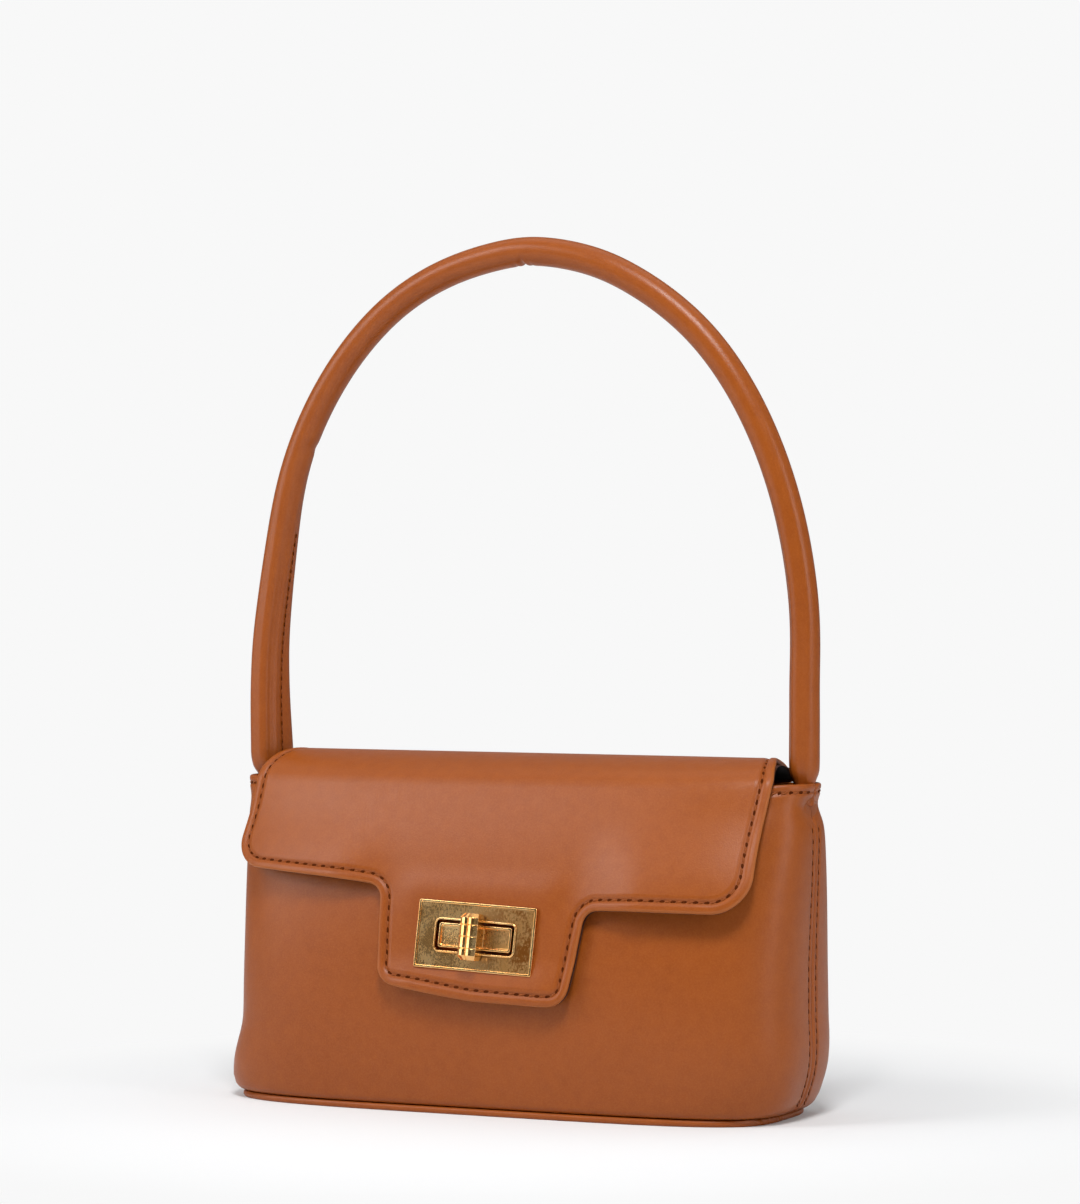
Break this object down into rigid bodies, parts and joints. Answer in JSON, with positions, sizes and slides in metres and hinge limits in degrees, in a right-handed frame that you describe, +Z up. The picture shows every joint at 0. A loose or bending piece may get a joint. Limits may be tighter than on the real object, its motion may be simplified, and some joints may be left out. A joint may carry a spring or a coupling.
{
  "type": "shoulder bag",
  "caption": "Small leather shoulder bag with a swelling body on a flat base, a front flap with a stepped tab, a turn lock and a tall rolled handle.",
  "frame": {"origin": "point of the base's flat underside below the middle of the lock and of the side seams", "axes": "+X along the bag to the right as seen from the front, -Y out of the front flap, +Z up towards the handle's crown"},
  "size_m": [0.2363, 0.0934, 0.323],
  "materials": {
    "tan_leather": "satin smooth",
    "black_lining": "matte",
    "grey_board": "matte fibre board",
    "antique_brass": "polished, aged",
    "spring_steel": "bright",
    "filler_cord": "matte cord"
  },
  "bodies": {
    "bag": {"front_panel": "tan_leather", "back_panel": "tan_leather", "base_panel": "tan_leather", "base_board": "grey_board", "lining_base": "black_lining", "lining_front": "black_lining", "lining_back": "black_lining", "hem_facing_front": "tan_leather", "hem_facing_back": "tan_leather", "front_interlining": "grey_board", "back_interlining": "grey_board", "seam_tape_left": "tan_leather", "seam_tape_right": "tan_leather", "handle_tongue_left": "tan_leather", "handle_tongue_right": "tan_leather", "flap_back_strip": "tan_leather", "lock_housing": "antique_brass", "lock_back_plate": "antique_brass", "detent_spring": "spring_steel"},
    "handle": {"handle_cover": "tan_leather", "handle_core": "filler_cord"},
    "flap": {"flap_leather": "tan_leather", "flap_board": "grey_board", "flap_lining": "black_lining", "flap_plate": "antique_brass", "flap_plate_backing": "antique_brass"},
    "turn_knob": {"turn_knob": "antique_brass", "spindle_ring": "spring_steel"}
  },
  "joints": [
    {"name": "flap_open", "type": "hinge", "parent": "bag", "child": "flap", "pos_m": [0, 0.0225, 0.1206], "axis": [-1, 0, 0], "range_deg": [0, 180]},
    {"name": "handle_swing", "type": "hinge", "parent": "bag", "child": "handle", "pos_m": [0, 0, 0.1262], "axis": [1, 0, 0], "range_deg": [-85, 85]},
    {"name": "knob_turn", "type": "hinge", "parent": "bag", "child": "turn_knob", "pos_m": [0, -0.04058, 0.065], "axis": [0, -0.9896, 0.1441], "range_deg": [0, 90]}
  ]
}
